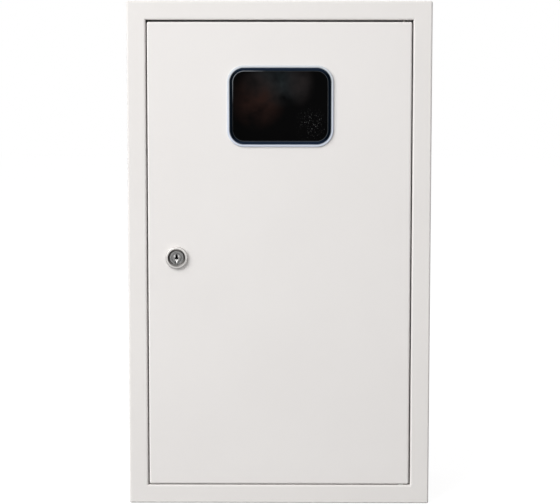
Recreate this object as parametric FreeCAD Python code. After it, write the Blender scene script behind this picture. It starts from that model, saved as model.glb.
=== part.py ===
import FreeCAD, Part
import math
import os

from FreeCAD import Vector

# Millimetres. X runs to the right, Z up, and the front faces -Y.
# The origin lies on the flat back, in the middle of the four wall fixings.

# Cabinet: one sheet-steel shell, folded and welded, with a frame round the door
width = 300.0
height = 500.0
depth = 150.0
sheet = 1.2
fold = 1.8
edge_round = 1.5
frame_width = 18.6
frame_return = 18.0
fixing_pitch_x = 200.0
fixing_pitch_z = 400.0
fixing_hole = 8.0
knockout_size = 28.5
knockout_push = 0.6
knockout_pitch = 60.0
knockout_from_back = 65.0
knockout_count = 2

# Door: a folded pan, flush with the frame
side_gap = 1.3
top_gap = 1.8
bottom_gap = 1.0
door_return = 13.0

# Hinge pins, hidden in the gaps above and below the door
pin_radius = 2.0
pin_inset = 7.4
pin_setback = 4.8
pin_reach = 4.0
run_fit = 0.05
running_gap = 0.3
thrust_washer_radius = 3.5
thrust_washer_bore_fit = 0.1
pin_collar = 0.8
pin_collar_height = 1.6
clip_thickness = 0.8
spring_wire = 0.8
spring_length = 16.0
spring_turns = 4
bracket_sheet = 1.5
bracket_leg = 13.0
bracket_height = 14.0
bracket_width = 9.4
tail_drop = 6.5
tail_length = 12.0
tail_bend = 3.5

# Door stops on the lock side
stop_height = 150.0
stop_width = 14.0
stop_foot = 10.0
stop_arm = 11.0
buffer_size = 9.0

# Cam lock
lock_inset = 28.4
lock_drop = 2.0
bezel_radius = 11.0
bezel_rise = 3.0
bezel_bevel = 0.8
dish_radius = 8.7
dish_depth = 1.6
barrel_radius = 9.0
barrel_flats = 16.0
panel_fit = 0.1
plug_head_radius = 7.1
plug_head_length = 2.6
plug_radius = 6.0
keyway_width = 2.2
keyway_height = 8.6
keyway_depth = 13.0
keyway_rib = 0.8
keyway_rib_height = 1.5
keyway_rib_drop = 0.7
wafer_pitch = 2.6
wafer_width = 5.0
wafer_thickness = 1.0
wafer_height = 9.6
wafer_window = 4.8
wafer_step = 0.4
wafer_steps = (-1, 0, 1, -1)
lock_nut_across = 24.0
lock_nut_height = 5.0
cam_thickness = 2.0
cam_width = 15.0
cam_overlap = 5.0
cam_end_round = 3.7
tail_radius = 4.5
tail_flats = 6.6
cam_screw_radius = 2.0
cam_screw_head = 5.0
cam_screw_length = 8.0

# Window: a clear moulding that snaps into the door
window_width = 99.4
window_height = 74.4
window_round = 14.0
window_offset_x = 0.9
window_below_top = 82.3
window_flange = 2.7
window_rise = 1.8
window_bevel = 0.9
window_fit = 0.2
window_wall = 2.3
window_pane = 2.0
window_recess = 1.2
window_skirt = 7.0
hook_width = 10.0
hook_catch = 1.2
hook_length = 3.0
hook_pitch = 50.0

# Meter plate, on welded posts
plate_width = 222.0
plate_height = 230.0
plate_sheet = 1.5
plate_edge = 9.0
plate_below_top = 30.0
plate_standoff = 25.0
plate_post_pitch_x = 190.0
plate_post_from_end = 18.0
plate_thread_radius = 2.5
post_radius = 5.0
meter_slot_width = 5.4
meter_slot_length = 80.0
meter_slot_pitch = 110.0
meter_slot_shift = 52.0

# Equipment rail on two posts
rail_above_base = 126.0
rail_length = 170.0
rail_width = 35.0
rail_crown = 27.0
rail_depth = 7.5
rail_sheet = 1.0
rail_slot_length = 15.0
rail_slot_width = 6.2
rail_slot_pitch = 40.0
rail_slot_count = 4
rail_standoff = 40.0
rail_screw_radius = 4.6
rail_screw_height = 3.0

# Earth bar on two posts
bar_above_base = 60.0
bar_offset_x = -40.0
bar_ways = 4
bar_way_pitch = 11.0
bar_end = 14.0
bar_height = 8.0
bar_thickness = 9.0
bar_standoff = 22.0
bar_fixing_from_end = 5.0
way_hole = 5.0
clamp_screw_radius = 2.2
clamp_screw_proud = 2.6
bar_screw_radius = 3.8
bar_screw_height = 2.4

# Earth studs, one on the cabinet and one on the door
earth_radius = 3.0
earth_length = 14.0
earth_from_side = 38.0
earth_from_base = 96.0
door_earth_length = 10.0
door_earth_from_edge = 40.0

# Small hardware: sizes against the thread's radius
nut_across = 3.25
nut_height = 1.7
head_height = 1.2
thread_spare = 1.5

# Flat sheet left beside a fold, for the welded floor
fold_land = 7.2

# Places worked out from the sizes above
half_width = width / 2
half_height = height / 2
front = -depth
back_inside = -sheet
opening_side = half_width - frame_width
opening_end = half_height - frame_width
frame_rear = front + frame_return
stop_face = frame_rear + fold - bracket_sheet
door_side = opening_side - side_gap
door_top = opening_end - top_gap
door_base = -opening_end + bottom_gap
door_middle = (door_top + door_base) / 2
door_inside = front + sheet
door_rear = front + door_return
hinge_x = door_side - pin_inset
hinge_y = front + pin_setback
clip_top = door_top - sheet - running_gap
spring_top = clip_top - clip_thickness
spring_base = spring_top - spring_length
lock_x = -door_side + lock_inset
lock_z = door_middle - lock_drop
lock_face = front - bezel_rise + dish_depth
barrel_rear = frame_rear
cam_front = barrel_rear + running_gap
cam_rear = cam_front + cam_thickness
window_x = window_offset_x
window_z = door_top - window_below_top
plate_rear = back_inside - plate_standoff
plate_front = plate_rear - plate_sheet
plate_top = half_height - plate_below_top
plate_middle = plate_top - plate_height / 2
rail_seat = back_inside - rail_standoff
rail_z = -half_height + rail_above_base
bar_z = -half_height + bar_above_base
bar_seat = back_inside - bar_standoff
bar_front = bar_seat - bar_thickness
bar_length = (bar_ways - 1) * bar_way_pitch + 2 * bar_end

NORTH = Vector(0, 1, 0)
FRONTWARD = Vector(0, -1, 0)
UP = Vector(0, 0, 1)
ACROSS = Vector(1, 0, 0)


def block(x, y, z):
    """A straight-sided solid between three pairs of limits."""
    size = [abs(b - a) for a, b in (x, y, z)]
    return Part.makeBox(*size, Vector(min(x), min(y), min(z)))


def rod(base, axis, radius, length):
    return Part.makeCylinder(radius, length, base, axis)


def turned(profile, base, axis):
    """A lathe form: (radius, height) corners swung about the axis, heights counted from base."""
    corners = [Vector(radius, 0, rise) for radius, rise in profile]
    wire = Part.makePolygon(corners + corners[:1])
    solid = Part.Face(wire).revolve(Vector(), UP, 360)
    solid.Placement = FreeCAD.Placement(base, FreeCAD.Rotation(UP, axis))
    return solid


def row_places(middle, pitch, count):
    """Evenly spaced places on both sides of a middle."""
    first = middle - pitch * (count - 1) / 2
    return [first + pitch * number for number in range(count)]


def hex_nut(base, axis, across, height, bore):
    angles = [math.radians(60 * side) for side in range(7)]
    corners = [Vector(math.cos(angle), math.sin(angle), 0) * (across / math.sqrt(3)) for angle in angles]
    prism = Part.Face(Part.makePolygon(corners)).extrude(UP * height)
    nut = prism.cut(Part.makeCylinder(bore, height))
    nut.Placement = FreeCAD.Placement(base, FreeCAD.Rotation(UP, axis))
    return nut


def thread_nut(base, axis, radius):
    """A plain nut for a thread of this radius."""
    return hex_nut(base, axis, radius * nut_across, radius * nut_height, radius)


def washer(base, axis, bore, rim, thickness):
    return turned([(bore, 0), (rim, 0), (rim, thickness), (bore, thickness)], base, axis)


def headed_screw(seat, axis, radius, length, head):
    """The axis points out of the head, and the seat is under it."""
    return turned([(0, -length), (radius, -length), (radius, 0), (head, 0),
                   (head, radius * head_height), (0, radius * head_height)], seat, axis)


def rounded_prism(wide, tall, radius, centre, y):
    """A rounded rectangle in the XZ plane, between two depths."""
    left = centre.x - wide / 2
    base = centre.z - tall / 2
    prism = block((left, left + wide), y, (base, base + tall))
    sides = [edge for edge in prism.Edges if edge.BoundBox.YLength > abs(y[1] - y[0]) / 2]
    return prism.makeFillet(radius, sides)


def obround(centre, along, length, wide, thickness):
    """A slot with round ends, cut to the north from its front plane."""
    across = along.cross(NORTH)
    half = (length - wide) / 2
    corners = [centre + along * (half * end) + across * (wide / 2 * side)
               for end, side in ((-1, -1), (1, -1), (1, 1), (-1, 1), (-1, -1))]
    slot = Part.Face(Part.makePolygon(corners)).extrude(NORTH * thickness)
    for end in (-half, half):
        slot = slot.fuse(rod(centre + along * end, NORTH, wide / 2, thickness))
    return slot.removeSplitter()


def line(start, end):
    return Part.LineSegment(start, end).toShape()


def bent_line(points, radii):
    """Edges along the points, with each corner rounded by its own radius."""
    edges = []
    last = points[0]
    for before, point, after, radius in zip(points, points[1:], points[2:], radii):
        back = (before - point).normalize()
        ahead = (after - point).normalize()
        half_angle = back.getAngle(ahead) / 2
        reach = radius / math.tan(half_angle)
        inward = (back + ahead).normalize()
        centre = point + inward * (radius / math.sin(half_angle))
        start = point + back * reach
        end = point + ahead * reach
        edges.append(line(last, start))
        edges.append(Part.Arc(start, centre - inward * radius, end).toShape())
        last = end
    edges.append(line(last, points[-1]))
    return edges


def left_of(points, distance):
    """The same line moved to its left by a distance."""
    ways = [(end - start).normalize() for start, end in zip(points, points[1:])]
    lefts = [Vector(-way.y, way.x, 0) for way in ways]
    moved = [points[0] + lefts[0] * distance]
    for point, one, two in zip(points[1:], lefts, lefts[1:]):
        both = one + two
        moved.append(point + both * (distance / both.dot(one)))
    moved.append(points[-1] + lefts[-1] * distance)
    return moved


def folded_section(corners, thickness, outer_radius):
    """The section of a folded sheet. The corners follow one face, and the sheet lies to their left."""
    near = [Vector(*corner) for corner in corners]
    far = left_of(near, thickness)
    near_radii = []
    far_radii = []
    for before, point, after in zip(near, near[1:], near[2:]):
        turns_left = (point - before).cross(after - point).z > 0
        near_radii.append(outer_radius if turns_left else outer_radius - thickness)
        far_radii.append(outer_radius - thickness if turns_left else outer_radius)
    edges = bent_line(near, near_radii)
    edges.append(line(near[-1], far[-1]))
    edges += bent_line(far[::-1], far_radii[::-1])
    edges.append(line(far[0], near[0]))
    return Part.Face(Part.Wire(edges))


def mitred_pan(section, side, top, base, floor):
    """The folded section of the right-hand edge, led round a rectangle with mitred corners.

    The floor closes the rectangle between its two depths, from one seam to the other."""
    middle = (top + base) / 2
    path = Part.makePolygon([
        Vector(side, front, middle), Vector(side, front, top), Vector(-side, front, top),
        Vector(-side, front, base), Vector(side, front, base), Vector(side, front, middle)])
    section.translate(UP * middle)
    rim = path.makePipeShell([section.OuterWire], True, False, 1).removeSplitter()
    corners = [edge for edge in rim.Edges
               if edge.BoundBox.XLength + edge.BoundBox.ZLength < 0.001
               and abs(abs(edge.BoundBox.XMin) - side) < 0.001
               and min(abs(edge.BoundBox.ZMin - top), abs(edge.BoundBox.ZMin - base)) < 0.001]
    rim = rim.makeFillet(edge_round, corners).Solids[0]
    seam = side - fold_land
    middle_sheet = block((-seam, seam), floor, (base + fold_land, top - fold_land))
    return rim.fuse(middle_sheet).removeSplitter()


def body_shell():
    """Back, sides and front frame in one: the frame turns back again round the door."""
    corners = [(opening_side, frame_rear), (opening_side, front), (half_width, front),
               (half_width, 0), (half_width - fold_land, 0)]
    section = folded_section(corners, sheet, fold)
    shell = mitred_pan(section, half_width, half_height, -half_height, (back_inside, 0))
    for x in (-fixing_pitch_x / 2, fixing_pitch_x / 2):
        for z in (-fixing_pitch_z / 2, fixing_pitch_z / 2):
            shell = shell.cut(rod(Vector(x, back_inside, z), NORTH, fixing_hole / 2, sheet))
    hole = pin_radius + run_fit
    for z in (-opening_end - sheet, opening_end):
        shell = shell.cut(rod(Vector(hinge_x, hinge_y, z), UP, hole, sheet))
    for x in row_places(0, knockout_pitch, knockout_count):
        shell = half_sheared(shell, Vector(x, -knockout_from_back, -half_height))
    return shell


def half_sheared(shell, centre):
    """A cable entry, punched part of the way up so that it can be knocked out."""
    radius = knockout_size / 2
    shell = shell.cut(rod(centre, UP, radius, knockout_push))
    return shell.fuse(rod(centre + UP * sheet, UP, radius - run_fit, knockout_push))


def stop_pair(make):
    """One piece at the upper door stop and one at the lower."""
    return Part.makeCompound([make(-stop_height), make(stop_height)])


def stop_bracket(z):
    """An angle welded behind the frame. Its arm stands in the door's way."""
    weld_face = -opening_side - sheet
    arm_end = -opening_side + stop_arm
    corners = [(weld_face - bracket_sheet, frame_rear - stop_foot),
               (weld_face - bracket_sheet, stop_face + bracket_sheet),
               (arm_end, stop_face + bracket_sheet)]
    section = folded_section(corners[::-1], bracket_sheet, fold)
    section.translate(Vector(0, 0, z - stop_width / 2))
    return section.extrude(UP * stop_width)


def stop_buffer(z):
    """A rubber button on the arm, just clear of the door's turned edge."""
    x = -opening_side + stop_arm - buffer_size / 2 - sheet
    length = stop_face - door_rear - running_gap
    return rod(Vector(x, stop_face, z), FRONTWARD, buffer_size / 2, length)


def door_panel():
    """A pan with its four edges turned back, cut out for the window and the lock."""
    corners = [(door_side - fold_land, front), (door_side, front), (door_side, door_rear)]
    section = folded_section(corners, sheet, fold)
    pan = mitred_pan(section, door_side, door_top, door_base, (front, door_inside))
    through = (front, door_inside)
    centre = Vector(window_x, 0, window_z)
    pan = pan.cut(rounded_prism(window_width, window_height, window_round, centre, through))
    pan = pan.cut(flatted_rod(barrel_radius + panel_fit, barrel_flats + 2 * panel_fit, through))
    pan = pan.cut(rod(Vector(hinge_x, hinge_y, door_top - sheet), UP, pin_radius + run_fit, sheet))
    return pan.cut(rod(Vector(hinge_x, hinge_y, door_base), UP, pin_radius, sheet))


def flatted_rod(radius, flats, y):
    """A rod on the lock's axis with a flat on each side, so that it can't turn in its hole."""
    round_part = rod(Vector(lock_x, y[0], lock_z), NORTH, radius, y[1] - y[0])
    return round_part.common(block((lock_x - flats / 2, lock_x + flats / 2), y,
                                   (lock_z - radius, lock_z + radius)))


def lower_pin():
    """A shouldered pin, riveted through the door's lower edge."""
    seat = door_base + sheet
    length = seat + opening_end + pin_reach
    shoulder = pin_radius + pin_collar
    return turned([(0, -pin_collar_height), (shoulder, -pin_collar_height), (shoulder, 0),
                   (pin_radius, 0), (pin_radius, length), (0, length)],
                  Vector(hinge_x, hinge_y, seat), UP * -1)


def thrust_washer():
    """A nylon washer that carries the door on the frame."""
    return washer(Vector(hinge_x, hinge_y, -opening_end), UP, pin_radius + thrust_washer_bore_fit,
                  thrust_washer_radius, bottom_gap - running_gap)


def pin_bracket():
    """An angle welded inside the door's hinge edge. The pin runs through its leg."""
    weld_face = door_side - sheet
    corners = [(weld_face - bracket_leg, 0), (weld_face, 0), (weld_face, -bracket_height)]
    section = folded_section(corners[::-1], bracket_sheet, fold)
    angle = section.extrude(UP * bracket_width)
    angle.rotate(Vector(), ACROSS, 90)
    angle.translate(Vector(0, hinge_y + bracket_width / 2 + fold, spring_base))
    return angle.cut(rod(Vector(hinge_x, hinge_y, spring_base - bracket_sheet), UP,
                         pin_radius + run_fit, bracket_sheet))


def upper_pin():
    """A bent rod: the tip stands in the frame, and the tail is pulled down to free the door."""
    axis = Vector(hinge_x, hinge_y, 0)
    bend_height = spring_base - bracket_sheet - tail_drop
    low = axis + UP * bend_height
    tail_end = low - ACROSS * tail_length
    straight = [axis + UP * (opening_end + pin_reach), low, tail_end]
    path = Part.Wire(bent_line(straight, [tail_bend]))
    circle = Part.Wire(Part.makeCircle(pin_radius, straight[0], UP))
    return path.makePipeShell([circle], True, True)


def pin_clip():
    """A spring clip round the pin, open on one side. It stops the pin and carries the spring."""
    rim = pin_radius + spring_wire + running_gap
    ring = washer(Vector(hinge_x, hinge_y, spring_top), UP, pin_radius, rim, clip_thickness)
    mouth = block((hinge_x - rim, hinge_x), (hinge_y - pin_radius / 2, hinge_y + pin_radius / 2),
                  (spring_top, clip_top))
    return ring.cut(mouth)


def pin_spring():
    """A coil between the clip and the bracket."""
    coil = pin_radius + running_gap + spring_wire / 2
    rise = spring_length - spring_wire
    helix = Part.makeHelix(rise / spring_turns, rise, coil)
    half = spring_wire / 2
    corners = [Vector(coil + half, 0, 0), Vector(coil, 0, half), Vector(coil - half, 0, 0),
               Vector(coil, 0, -half)]
    section = Part.makePolygon(corners + corners[:1])
    wire = Part.Wire(helix).makePipeShell([section], True, True)
    wire.translate(Vector(hinge_x, hinge_y, spring_base + spring_wire / 2))
    return wire


def lock_housing():
    """The bezel, dished round the plug, and the barrel that goes through the door."""
    reach = bezel_rise + barrel_rear - front
    head_bore = plug_head_radius + run_fit
    head_seat = dish_depth + plug_head_length + run_fit
    bore = plug_radius + run_fit
    outer = turned([(0, 0), (bezel_radius, 0), (bezel_radius, bezel_rise - bezel_bevel),
                    (bezel_radius - bezel_bevel, bezel_rise), (0, bezel_rise)],
                   Vector(lock_x, front, lock_z), FRONTWARD)
    outer = outer.fuse(flatted_rod(barrel_radius, barrel_flats, (front, barrel_rear)))
    inner = turned([(0, 0), (dish_radius, 0), (head_bore, dish_depth), (head_bore, head_seat),
                    (bore, head_seat), (bore, reach), (0, reach)],
                   Vector(lock_x, front - bezel_rise, lock_z), NORTH)
    return outer.cut(inner)


def lock_nut():
    return hex_nut(Vector(lock_x, door_inside, lock_z), NORTH, lock_nut_across, lock_nut_height,
                   barrel_radius + run_fit)


def wafer_places():
    first = lock_face + plug_head_length + wafer_pitch / 2
    return [first + wafer_pitch * number for number in range(len(wafer_steps))]


def lock_plug():
    """The turning plug: a warded keyway in front, cross slots for the wafers, a flatted tail behind."""
    shoulder = lock_face + plug_head_length
    plug = rod(Vector(lock_x, lock_face, lock_z), NORTH, plug_head_radius, plug_head_length)
    plug = plug.fuse(rod(Vector(lock_x, shoulder, lock_z), NORTH, plug_radius, cam_front - shoulder))
    plug = plug.fuse(flatted_rod(tail_radius, tail_flats, (cam_front, cam_rear - run_fit)))
    key_space = (lock_face, lock_face + keyway_depth)
    left = lock_x - keyway_width / 2
    low = lock_z - keyway_height / 2
    plug = plug.cut(block((left, left + keyway_width), key_space, (low, low + keyway_height)))
    ward = lock_z - keyway_rib_drop
    plug = plug.fuse(block((left, left + keyway_rib), key_space, (ward - keyway_rib_height, ward)))
    half = wafer_width / 2 + run_fit
    for y in wafer_places():
        plug = plug.cut(block((lock_x - half, lock_x + half), (y - run_fit, y + wafer_thickness + run_fit),
                              (lock_z - plug_radius, lock_z + plug_radius)))
    return plug.cut(rod(Vector(lock_x, cam_rear - cam_screw_length, lock_z), NORTH,
                        cam_screw_radius, cam_screw_length))


def lock_wafers():
    """Flat tumblers, each with a window for the key at its own height."""
    wafers = []
    half = keyway_width / 2 + run_fit
    for y, step in zip(wafer_places(), wafer_steps):
        thick = (y, y + wafer_thickness)
        middle = lock_z + step * wafer_step
        plate = block((lock_x - wafer_width / 2, lock_x + wafer_width / 2), thick,
                      (lock_z - wafer_height / 2, lock_z + wafer_height / 2))
        wafers.append(plate.cut(block((lock_x - half, lock_x + half), thick,
                                      (middle - wafer_window / 2, middle + wafer_window / 2))))
    return Part.makeCompound(wafers)


def lock_cam():
    """A flat bar that hangs down when open. A quarter turn puts its tip behind the frame."""
    reach = lock_x + opening_side + sheet + cam_overlap
    half = cam_width / 2
    thick = (cam_front, cam_rear)
    hub = rod(Vector(lock_x, cam_front, lock_z), NORTH, half, cam_thickness)
    arm = block((lock_x - half, lock_x + half), thick, (lock_z - reach, lock_z))
    ends = [edge for edge in arm.Edges
            if edge.BoundBox.YLength > cam_thickness / 2 and edge.BoundBox.ZMin < lock_z - reach / 2]
    arm = arm.makeFillet(cam_end_round, ends)
    cam = hub.fuse(arm).removeSplitter()
    return cam.cut(flatted_rod(tail_radius + run_fit, tail_flats + 2 * run_fit, thick))


def cam_screw():
    """A screw with a broad head, which holds the cam on the plug's tail."""
    return headed_screw(Vector(lock_x, cam_rear, lock_z), NORTH, cam_screw_radius,
                        cam_screw_length - run_fit, cam_screw_head)


def window_lens():
    """One clear moulding: a flange over the door, a skirt through it, a sunk pane and snap hooks."""
    centre = Vector(window_x, 0, window_z)
    face = front - window_rise
    flange = rounded_prism(window_width + 2 * window_flange, window_height + 2 * window_flange,
                           window_round + window_flange, centre, (face, front))
    rim = [edge for edge in flange.Edges if edge.BoundBox.YMax < face + window_bevel]
    flange = flange.makeChamfer(window_bevel, rim)
    skirt_wide = window_width - 2 * window_fit
    skirt_tall = window_height - 2 * window_fit
    skirt_round = window_round - window_fit
    skirt = rounded_prism(skirt_wide, skirt_tall, skirt_round, centre, (front, front + window_skirt))
    body = flange.fuse(skirt)
    pane_wide = skirt_wide - 2 * window_wall
    pane_tall = skirt_tall - 2 * window_wall
    pane_round = skirt_round - window_wall
    pane_front = face + window_recess
    for y in ((face, pane_front), (pane_front + window_pane, front + window_skirt)):
        body = body.cut(rounded_prism(pane_wide, pane_tall, pane_round, centre, y))
    for hook in snap_hooks(skirt_wide, skirt_tall):
        body = body.fuse(hook)
    return body


def snap_hooks(skirt_wide, skirt_tall):
    """Wedges that ride through the cut-out and spread behind the sheet."""
    start = door_inside + run_fit
    catch = window_fit + hook_catch
    profile = [Vector(0, start, 0), Vector(0, start, catch), Vector(0, start + hook_length, 0)]
    wedge = Part.Face(Part.makePolygon(profile + profile[:1])).extrude(ACROSS * hook_width)
    wedge.translate(ACROSS * (-hook_width / 2))
    hooks = []
    for angle, reach, shift in ((0, skirt_tall, hook_pitch / 2), (0, skirt_tall, -hook_pitch / 2),
                                (180, skirt_tall, hook_pitch / 2), (180, skirt_tall, -hook_pitch / 2),
                                (90, skirt_wide, 0), (270, skirt_wide, 0)):
        hook = wedge.copy()
        hook.translate(Vector(shift, 0, reach / 2))
        hook.rotate(Vector(), NORTH, angle)
        hook.translate(Vector(window_x, 0, window_z))
        hooks.append(hook)
    return hooks


def plate_corners(y):
    """The four post places of the meter plate."""
    across = plate_post_pitch_x / 2
    rise = plate_height / 2 - plate_post_from_end
    return [Vector(x, y, plate_middle + z) for x in (-across, across) for z in (-rise, rise)]


def plate_posts():
    """Turned posts, welded to the back, each with a shoulder for the plate and a threaded end."""
    tip = plate_standoff + plate_sheet + plate_thread_radius * nut_height + thread_spare
    profile = [(0, 0), (post_radius, 0), (post_radius, plate_standoff),
               (plate_thread_radius, plate_standoff), (plate_thread_radius, tip), (0, tip)]
    return Part.makeCompound([turned(profile, place, FRONTWARD) for place in plate_corners(back_inside)])


def plate_nuts():
    return Part.makeCompound([thread_nut(place, FRONTWARD, plate_thread_radius)
                              for place in plate_corners(plate_front)])


def meter_plate():
    """Plated sheet with its long edges folded back, and upright slots for the meter's screws."""
    half = plate_width / 2
    corners = [(-half, plate_front + plate_edge), (-half, plate_front), (half, plate_front),
               (half, plate_front + plate_edge)]
    section = folded_section(corners, plate_sheet, fold)
    section.translate(UP * (plate_top - plate_height))
    plate = section.extrude(UP * plate_height)
    slots = [(0, meter_slot_shift), (-meter_slot_pitch / 2, -meter_slot_shift),
             (meter_slot_pitch / 2, -meter_slot_shift)]
    for x, rise in slots:
        centre = Vector(x, plate_front, plate_middle + rise)
        plate = plate.cut(obround(centre, UP, meter_slot_length, meter_slot_width, plate_sheet))
    for place in plate_corners(plate_front):
        plate = plate.cut(rod(place, NORTH, plate_thread_radius + run_fit, plate_sheet))
    return plate


def rail_fixing_places(y):
    """The rail is held through its two outer slots."""
    slots = row_places(0, rail_slot_pitch, rail_slot_count)
    return [Vector(x, y, rail_z) for x in (slots[0], slots[-1])]


def posts(places, length):
    """Plain posts, welded to the back, with their seats at these places."""
    return Part.makeCompound([rod(place, NORTH, post_radius, length) for place in places])


def din_rail():
    """A top-hat equipment rail with slots along its floor, and the heads of its two screws."""
    edge = rail_width / 2
    crown = rail_crown / 2
    lip_face = rail_seat - rail_depth
    corners = [(edge, lip_face + rail_sheet), (crown, lip_face + rail_sheet), (crown, rail_seat),
               (-crown, rail_seat), (-crown, lip_face + rail_sheet), (-edge, lip_face + rail_sheet)]
    section = folded_section(corners, rail_sheet, fold)
    rail = section.extrude(UP * rail_length)
    rail.translate(UP * (-rail_length / 2))
    rail.rotate(Vector(), NORTH, -90)
    rail.translate(UP * rail_z)
    for x in row_places(0, rail_slot_pitch, rail_slot_count):
        centre = Vector(x, rail_seat - rail_sheet, rail_z)
        rail = rail.cut(obround(centre, ACROSS, rail_slot_length, rail_slot_width, rail_sheet))
    for place in rail_fixing_places(rail_seat - rail_sheet):
        rail = rail.fuse(rod(place, FRONTWARD, rail_screw_radius, rail_screw_height))
    return rail


def bar_fixing_places(y):
    reach = bar_length / 2 - bar_fixing_from_end
    return [Vector(bar_offset_x + end, y, bar_z) for end in (-reach, reach)]


def earth_bar():
    """Drawn brass, drilled for the wires from below, with its screws in place.

    The clamping screws are backed out, so that the wire holes are open."""
    bar = block((bar_offset_x - bar_length / 2, bar_offset_x + bar_length / 2), (bar_front, bar_seat),
                (bar_z - bar_height / 2, bar_z + bar_height / 2))
    middle = (bar_front + bar_seat) / 2
    for x in row_places(bar_offset_x, bar_way_pitch, bar_ways):
        bar = bar.cut(rod(Vector(x, middle, bar_z - bar_height / 2), UP, way_hole / 2, bar_height))
        bar = bar.fuse(rod(Vector(x, bar_front, bar_z), FRONTWARD, clamp_screw_radius, clamp_screw_proud))
    for place in bar_fixing_places(bar_front):
        bar = bar.fuse(rod(place, FRONTWARD, bar_screw_radius, bar_screw_height))
    return bar


def earth_place():
    return Vector(-half_width + earth_from_side, back_inside, -half_height + earth_from_base)


def door_earth_place():
    return Vector(door_side - door_earth_from_edge, door_inside, door_base + door_earth_from_edge)


def main():
    pieces = {
        "body_shell": body_shell(),
        "stop_brackets": stop_pair(stop_bracket),
        "stop_buffers": stop_pair(stop_buffer),
        "thrust_washer": thrust_washer(),
        "plate_posts": plate_posts(),
        "meter_plate": meter_plate(),
        "plate_nuts": plate_nuts(),
        "rail_posts": posts(rail_fixing_places(rail_seat), rail_standoff),
        "din_rail": din_rail(),
        "bar_posts": posts(bar_fixing_places(bar_seat), bar_standoff),
        "earth_bar": earth_bar(),
        "earth_stud": rod(earth_place(), FRONTWARD, earth_radius, earth_length),
        "earth_nut": thread_nut(earth_place(), FRONTWARD, earth_radius),
        "door_panel": door_panel(),
        "lower_pin": lower_pin(),
        "pin_bracket": pin_bracket(),
        "window_lens": window_lens(),
        "lock_housing": lock_housing(),
        "lock_nut": lock_nut(),
        "door_stud": rod(door_earth_place(), NORTH, earth_radius, door_earth_length),
        "door_stud_nut": thread_nut(door_earth_place(), NORTH, earth_radius),
        "upper_pin": upper_pin(),
        "pin_clip": pin_clip(),
        "pin_spring": pin_spring(),
        "lock_plug": lock_plug(),
        "lock_wafers": lock_wafers(),
        "lock_cam": lock_cam(),
        "cam_screw": cam_screw(),
    }
    os.makedirs("parts", exist_ok=True)
    for name, shape in pieces.items():
        shape.exportStep("parts/" + name + ".step")


main()
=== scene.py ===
import math

import bpy
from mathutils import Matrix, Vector


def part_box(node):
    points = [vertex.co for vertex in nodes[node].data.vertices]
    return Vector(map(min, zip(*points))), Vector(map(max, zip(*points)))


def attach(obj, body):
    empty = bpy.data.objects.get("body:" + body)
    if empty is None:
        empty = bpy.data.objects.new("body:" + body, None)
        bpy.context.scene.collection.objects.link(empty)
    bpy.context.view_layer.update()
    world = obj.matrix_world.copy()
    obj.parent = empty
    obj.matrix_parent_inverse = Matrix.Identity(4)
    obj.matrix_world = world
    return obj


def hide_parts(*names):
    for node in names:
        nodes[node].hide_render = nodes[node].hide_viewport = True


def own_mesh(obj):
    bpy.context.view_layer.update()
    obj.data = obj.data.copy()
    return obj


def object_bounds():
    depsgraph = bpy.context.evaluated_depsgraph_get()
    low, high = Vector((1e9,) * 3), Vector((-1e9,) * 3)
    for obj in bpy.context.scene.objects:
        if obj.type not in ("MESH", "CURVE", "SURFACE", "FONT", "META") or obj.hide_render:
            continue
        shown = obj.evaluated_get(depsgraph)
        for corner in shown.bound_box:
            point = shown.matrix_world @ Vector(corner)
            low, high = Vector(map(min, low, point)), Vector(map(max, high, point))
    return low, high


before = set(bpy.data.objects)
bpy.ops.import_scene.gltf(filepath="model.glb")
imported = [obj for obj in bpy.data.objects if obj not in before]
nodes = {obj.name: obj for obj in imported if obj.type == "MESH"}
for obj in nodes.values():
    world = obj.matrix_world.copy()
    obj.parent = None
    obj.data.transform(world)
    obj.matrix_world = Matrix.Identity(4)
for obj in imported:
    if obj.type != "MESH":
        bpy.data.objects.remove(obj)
cad_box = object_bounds()


# The cabinet is one shell of 1.2 mm steel, folded and welded, with its frame turned back round
# the door. It is powder coated inside and out in a warm white with a very fine orange peel, and
# the two angles for the door stops are welded in before it is coated.
OPENING_TOP = 0.2314
OPENING_SIDE = 0.1314
# Where the painted shade lies on the underside of the frame over the door, and how it fades from
# the left across.
GAP_SHADE_HEIGHT = (0.0006, 0.0003)
GAP_SHADE_FRONT = (-0.1489, -0.1480)
GAP_SHADE_REAR = (-0.1300, -0.1310)
GAP_SHADE_ACROSS = (0.4, -0.13)
GAP_SHADE_BEYOND = 0.0004
PAINT_RELIEF = 0.00003


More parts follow.
